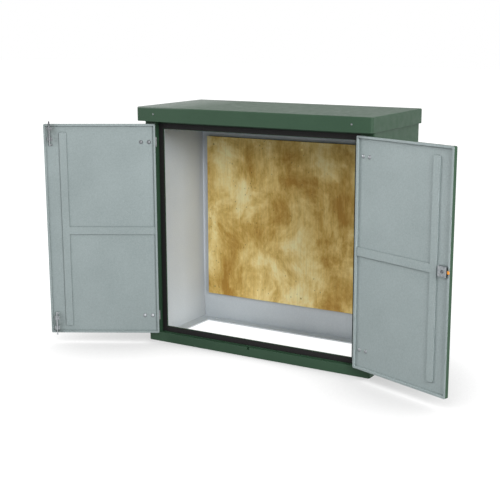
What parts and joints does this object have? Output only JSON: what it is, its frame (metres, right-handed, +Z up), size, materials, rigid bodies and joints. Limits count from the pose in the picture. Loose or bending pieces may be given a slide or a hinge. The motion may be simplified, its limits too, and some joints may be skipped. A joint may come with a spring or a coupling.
{
  "type": "roadside utility cabinet",
  "caption": "Free-standing double-door utility cabinet with an overhanging roof, a sealed rebated doorway, a plywood backboard, shoot bolts on one leaf and a rim lock on the other.",
  "frame": {"origin": "on the ground, at the centre of the four anchor holes under the middle of the body", "axes": "+Z up, +X along the body's width to the right as seen from the front, doors on the -Y side"},
  "size_m": [2.0304, 0.7909, 1.16],
  "materials": {
    "green_moulding": "satin green gelcoat on a moulded laminate",
    "grey_liner": "matt grey flow coat",
    "seal_rubber": "black sponge rubber",
    "plywood": "bare exterior plywood",
    "steel": "stainless steel",
    "lock_metal": "grey painted lock case",
    "black_plate": "black",
    "orange_tongue": "orange"
  },
  "bodies": {
    "cabinet": {"body_shell": "green_moulding", "roof_cap": "green_moulding", "roof_brackets": "steel", "roof_screws": "steel", "door_seal": "seal_rubber", "backboard": "plywood", "backboard_screws": "steel", "left_top_hinge_frame_leaf": "steel", "left_top_hinge_pin": "steel", "left_low_hinge_frame_leaf": "steel", "left_low_hinge_pin": "steel", "right_top_hinge_frame_leaf": "steel", "right_top_hinge_pin": "steel", "right_low_hinge_frame_leaf": "steel", "right_low_hinge_pin": "steel", "frame_hinge_bolts": "steel"},
    "left_door": {"left_door_skin": "green_moulding", "left_door_liner": "grey_liner", "left_top_hinge_door_leaf": "steel", "left_low_hinge_door_leaf": "steel", "left_hinge_bolts": "steel", "top_bolt_guides": "steel", "bottom_bolt_guides": "steel", "shoot_bolt_screws": "steel"},
    "right_door": {"right_door_skin": "green_moulding", "right_door_liner": "grey_liner", "right_top_hinge_door_leaf": "steel", "right_low_hinge_door_leaf": "steel", "right_hinge_bolts": "steel", "lock_case": "lock_metal", "lock_face_plate": "black_plate", "lock_escutcheon": "steel", "lock_screws": "steel"},
    "top_bolt": {"top_bolt_rod": "steel"},
    "bottom_bolt": {"bottom_bolt_rod": "steel"},
    "latch": {"lock_tongue": "orange_tongue"},
    "key_plug": {"lock_plug": "steel"}
  },
  "joints": [
    {"name": "left_door_hinge", "type": "hinge", "parent": "cabinet", "child": "left_door", "pos_m": [-0.5346, -0.2545, 0.564], "axis": [0, 0, -1], "range_deg": [-150.4, 17.6]},
    {"name": "right_door_hinge", "type": "hinge", "parent": "cabinet", "child": "right_door", "pos_m": [0.5346, -0.2545, 0.564], "axis": [0, 0, 1], "range_deg": [-159.9, 8.1]},
    {"name": "top_bolt_slide", "type": "slide", "parent": "left_door", "child": "top_bolt", "axis": [0, 0, 1], "range_m": [-0.018, 0.014]},
    {"name": "bottom_bolt_slide", "type": "slide", "parent": "left_door", "child": "bottom_bolt", "axis": [0, 0, -1], "range_m": [-0.018, 0.014]},
    {"name": "key_plug_turn", "type": "hinge", "parent": "right_door", "child": "key_plug", "pos_m": [1.00311, -0.42595, 0.577], "axis": [-0.3437, -0.9391, 0], "range_deg": [0, 90]},
    {"name": "latch_slide", "type": "slide", "parent": "right_door", "child": "latch", "axis": [0.9391, -0.3437, 0], "range_m": [0, 0.014]}
  ],
  "couplings": [
    {"joint": "key_plug_turn", "follows": "latch_slide", "rad_per_m": 112.2}
  ]
}
